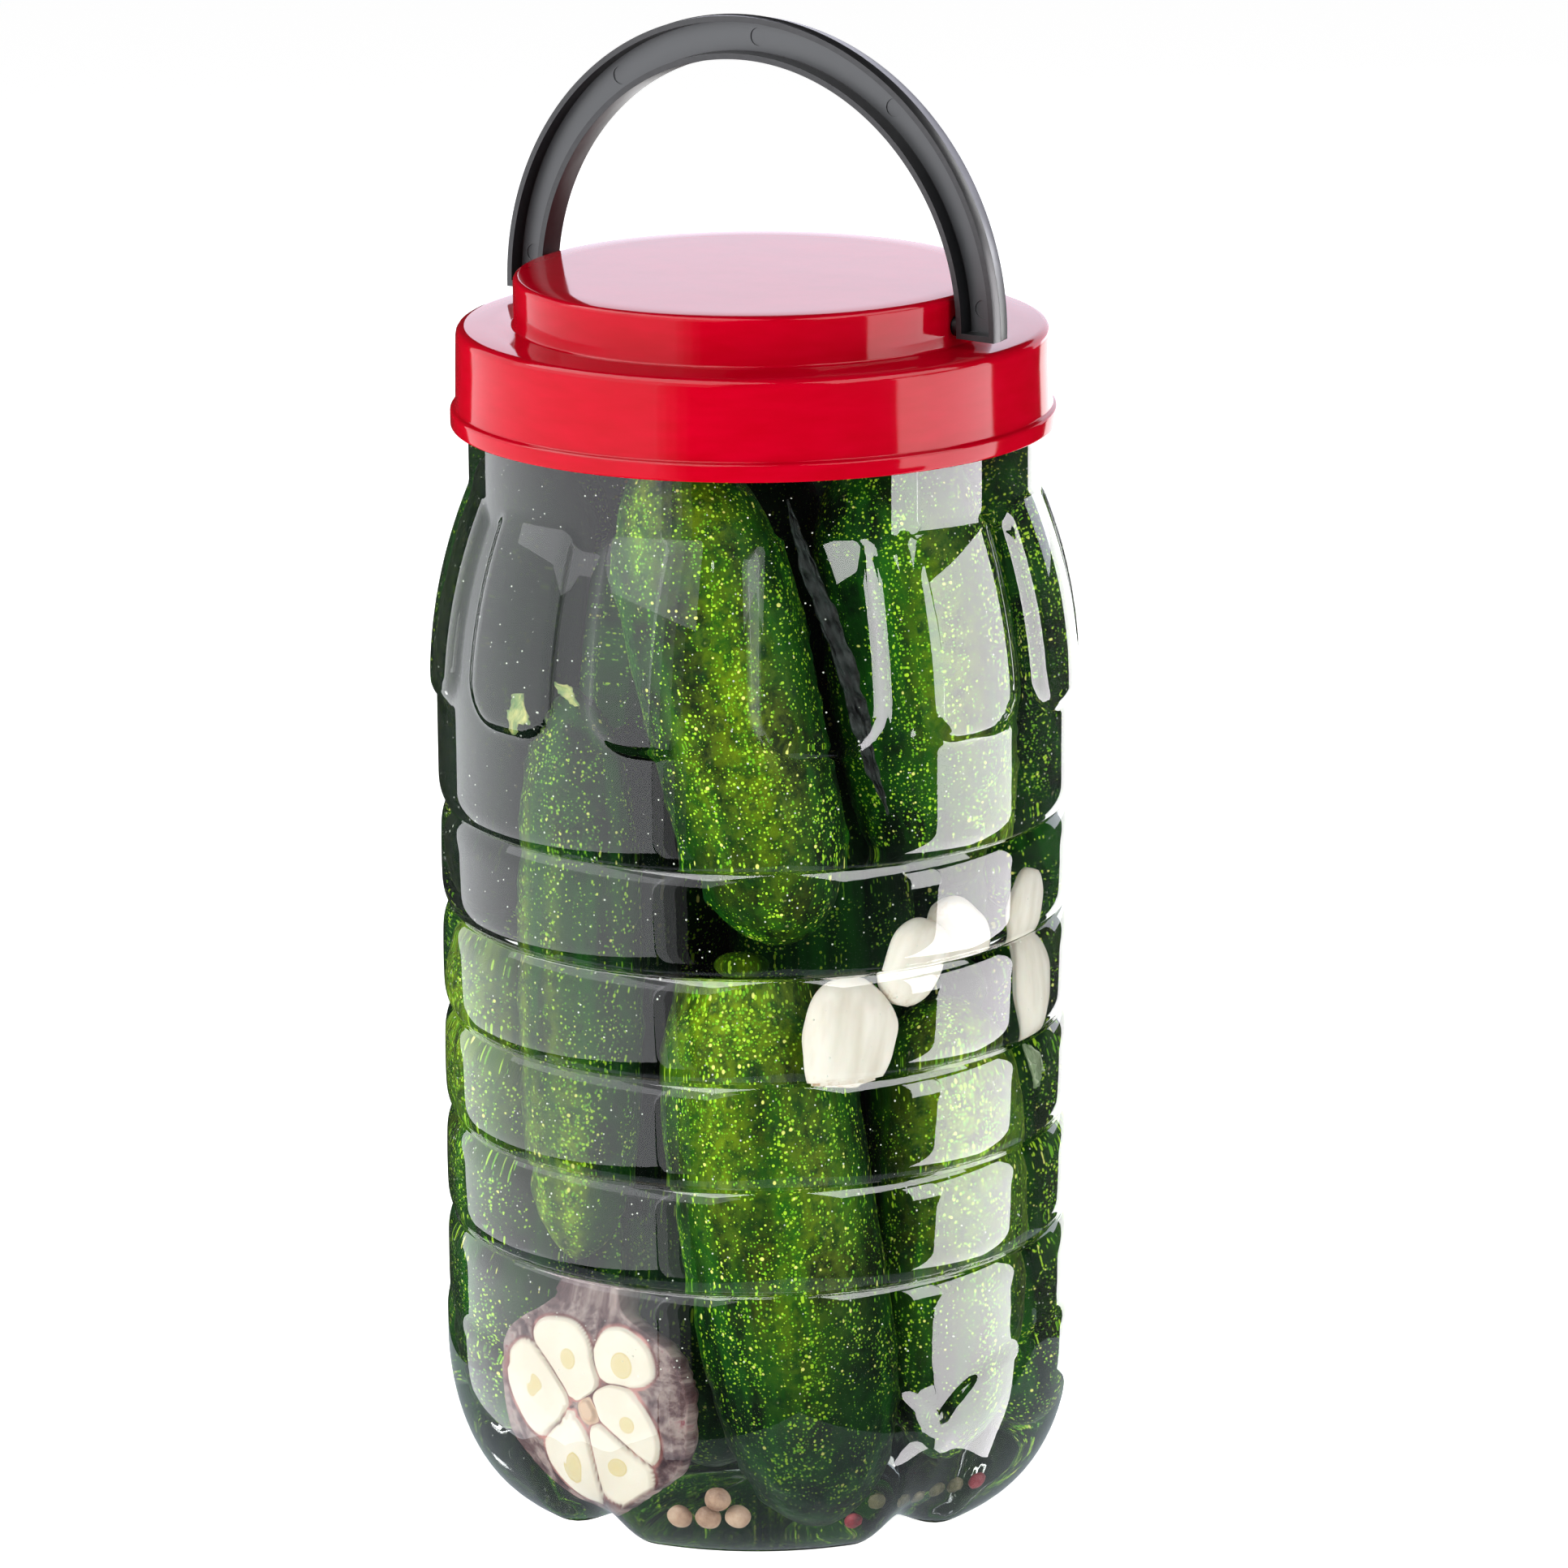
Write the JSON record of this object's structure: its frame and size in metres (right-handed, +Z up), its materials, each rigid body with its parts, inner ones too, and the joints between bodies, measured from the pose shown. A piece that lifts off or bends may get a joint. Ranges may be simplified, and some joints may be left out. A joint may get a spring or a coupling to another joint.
{
  "type": "jar of pickled cucumbers",
  "caption": "Clear ribbed plastic jar with a red screw lid and a black swinging handle, packed with whole cucumbers, garlic and spices in brine.",
  "frame": {"origin": "centre of the jar's base, on the plane its feet stand on", "axes": "+Z up along the jar's axis, X along the pins that the handle turns on"},
  "size_m": [0.1366, 0.1366, 0.3202],
  "materials": {
    "clear_plastic": "clear, glossy",
    "red_plastic": "glossy",
    "black_plastic": "satin",
    "cucumber_skin": "wet, warty skin",
    "garlic": "waxy",
    "allspice": "dry berry",
    "peppercorn": "wrinkled berry",
    "leaf": "wet leaf"
  },
  "bodies": {
    "jar": {"jar": "clear_plastic", "lid": "red_plastic", "cucumbers": "cucumber_skin", "garlic_bulb": "garlic", "garlic_clove_1": "garlic", "garlic_clove_2": "garlic", "garlic_clove_3": "garlic", "garlic_clove_4": "garlic", "garlic_clove_5": "garlic", "allspice_1": "allspice", "allspice_2": "allspice", "allspice_3": "allspice", "allspice_4": "allspice", "peppercorn_1": "peppercorn", "peppercorn_2": "peppercorn", "peppercorn_3": "peppercorn", "peppercorn_4": "peppercorn", "peppercorn_5": "peppercorn", "peppercorn_6": "peppercorn", "peppercorn_7": "peppercorn", "leaf_scrap_1": "leaf", "leaf_scrap_2": "leaf", "leaf_strip": "leaf"},
    "handle": {"handle": "black_plastic"}
  },
  "joints": [
    {"name": "handle_swing", "type": "hinge", "parent": "jar", "child": "handle", "pos_m": [0, 0, 0.2596], "axis": [1, 0, 0], "range_deg": [-90, 90]}
  ]
}
